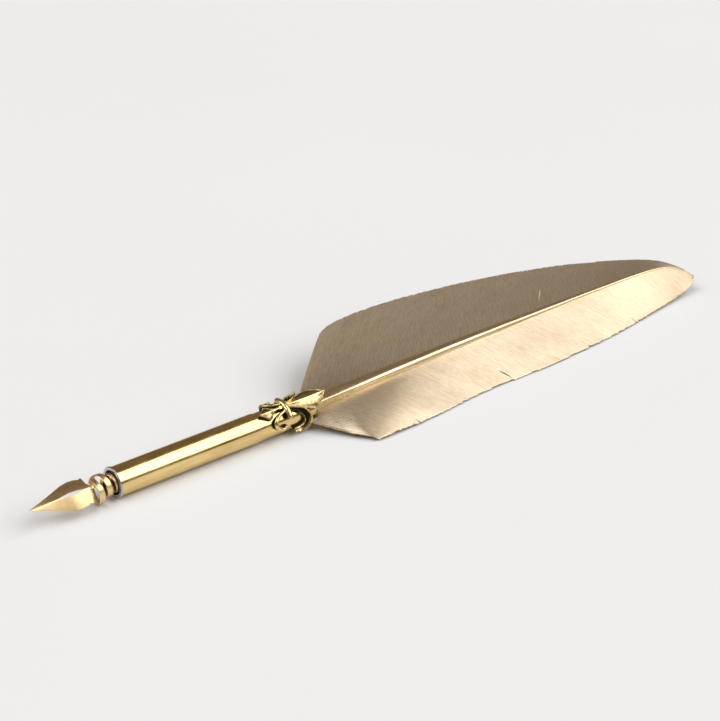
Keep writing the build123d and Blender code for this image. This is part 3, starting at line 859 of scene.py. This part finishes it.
# ---- pieces -------------------------------------------------------------------------------------
brass = drawn_metal("polished_brass", (0.87, 0.66, 0.31), (0.66, 0.46, 0.18), 0.17)
gilt = drawn_metal("gilt_nib", (0.84, 0.64, 0.35), (0.76, 0.55, 0.27), 0.34, (500, 500, 500), 6e-6)
steel = drawn_metal("steel", (0.62, 0.62, 0.6), (0.4, 0.4, 0.39), 0.22, (900, 300, 300))
spring = drawn_metal("spring_steel", (0.5, 0.5, 0.52), (0.3, 0.3, 0.33), 0.3, (100, 900, 900))
barbs = gilded_barbs("gilded_barbs")
quill = gilded_quill("gilded_quill")
cast = antique_brass("antique_brass", 4.4, 4.95)
wood = plain_solid("bush_wood", (0.5, 0.34, 0.19), (0.27, 0.16, 0.08), 0.6, (60, 900, 900))
glue = plain_solid("set_glue", (0.6, 0.5, 0.28), (0.42, 0.33, 0.16), 0.3, (500, 500, 500))

for node, material in {
    "barrel_tube": brass, "mouth_ferrule": steel, "nib_clip": spring, "nib": gilt,
    "feather_bush": wood, "quill_glue": glue,
}.items():
    paint(node, material)

for piece, material, slot, node, body in (
    (make_vane("near_barbs", NEAR_VANE), barbs, "gilded_barbs", "near_vane", "holder"),
    (make_vane("far_barbs", FAR_VANE), barbs, "gilded_barbs", "far_vane", "holder"),
    (make_shaft("feather_shaft"), quill, "gilded_quill", "quill_shaft", "holder"),
    (make_ornament("fleur_casting"), cast, "antique_brass", "fleur_ornament", "holder"),
    (make_blade("nib_blade"), gilt, "gilt_nib", "nib", "nib"),
    (make_neck("nib_neck"), gilt, "gilt_nib", "nib", "nib"),
    (make_spiral("nib_spiral"), gilt, "gilt_nib", "nib", "nib"),
):
    paint(piece, material)
    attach(piece, body)
    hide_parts(node)

# ---- floor, light and camera --------------------------------------------------------------------
FLOOR_SIZE = 6.0
CAMERA_AIM = Vector((90.1, 12.2, 0)) * MM
CAMERA_DISTANCE = 0.712
CAMERA_PITCH = radians(27.3)
CAMERA_TURN = radians(39.43)
CAMERA_LENS = 129.8
LIGHT_DISTANCE = 12.0


def make_floor():
    """A pale matt tabletop that the pen lies on."""
    half = FLOOR_SIZE / 2
    corners = [(x, y, TABLE * MM) for x, y in ((-half, -half), (half, -half), (half, half), (-half, half))]
    mesh = bpy.data.meshes.new("floor")
    mesh.from_pydata(corners, [], [(0, 1, 2, 3)])
    floor = bpy.data.objects.new("floor", mesh)
    bpy.context.scene.collection.objects.link(floor)
    look = Look("pale_tabletop")
    mottle = look.cloud(look.place((6, 6, 6)), 1.0, 2)
    colour = look.ramp(mottle, (0.3, (0.818, 0.838, 0.858)), (0.7, (0.828, 0.848, 0.868)))
    paint(floor, look.finish(colour, look.span(mottle, 0, 1, 0.85, 0.95), mottle, 1e-6))


def make_softbox(name, direction, width, height, radiance):
    """A distant rectangular softbox that faces the pen; width and height are in degrees as seen from it."""
    data = bpy.data.lights.new(name, "AREA")
    data.shape = "RECTANGLE"
    data.size = 2 * LIGHT_DISTANCE * tan(radians(width / 2))
    data.size_y = 2 * LIGHT_DISTANCE * tan(radians(height / 2))
    data.energy = radiance * pi * data.size * data.size_y
    light = bpy.data.objects.new(name, data)
    light.location = Vector(direction).normalized() * LIGHT_DISTANCE
    light.rotation_euler = Vector(direction).to_track_quat("Z", "Y").to_euler()
    bpy.context.scene.collection.objects.link(light)


def make_world(radiance, tint):
    """The dim, warm studio around the table."""
    world = bpy.data.worlds.new("studio")
    world.use_nodes = True
    back = world.node_tree.nodes["Background"]
    back.inputs["Color"].default_value = (*tint, 1)
    back.inputs["Strength"].default_value = radiance
    bpy.context.scene.world = world


def make_camera():
    """The camera, aimed at the middle of the pen from the nib's side."""
    level = cos(CAMERA_PITCH)
    look = Vector((sin(CAMERA_TURN) * level, cos(CAMERA_TURN) * level, -sin(CAMERA_PITCH)))
    data = bpy.data.cameras.new("camera")
    data.lens = CAMERA_LENS
    data.sensor_width = 36.0
    data.clip_start, data.clip_end = 0.01, 50.0
    camera = bpy.data.objects.new("camera", data)
    camera.location = CAMERA_AIM - look * CAMERA_DISTANCE
    camera.rotation_euler = look.to_track_quat("-Z", "Y").to_euler()
    bpy.context.scene.collection.objects.link(camera)
    bpy.context.scene.camera = camera


make_floor()
make_world(radiance=0.18, tint=(1.0, 0.79, 0.62))
make_softbox("side_softbox", direction=(0.564, -0.43, 0.62), width=62, height=46, radiance=2.95)
make_softbox("top_softbox", direction=(-0.55, 0.1, 0.83), width=60, height=44, radiance=2.2)
make_camera()
bpy.context.scene.view_settings.view_transform = "Standard"
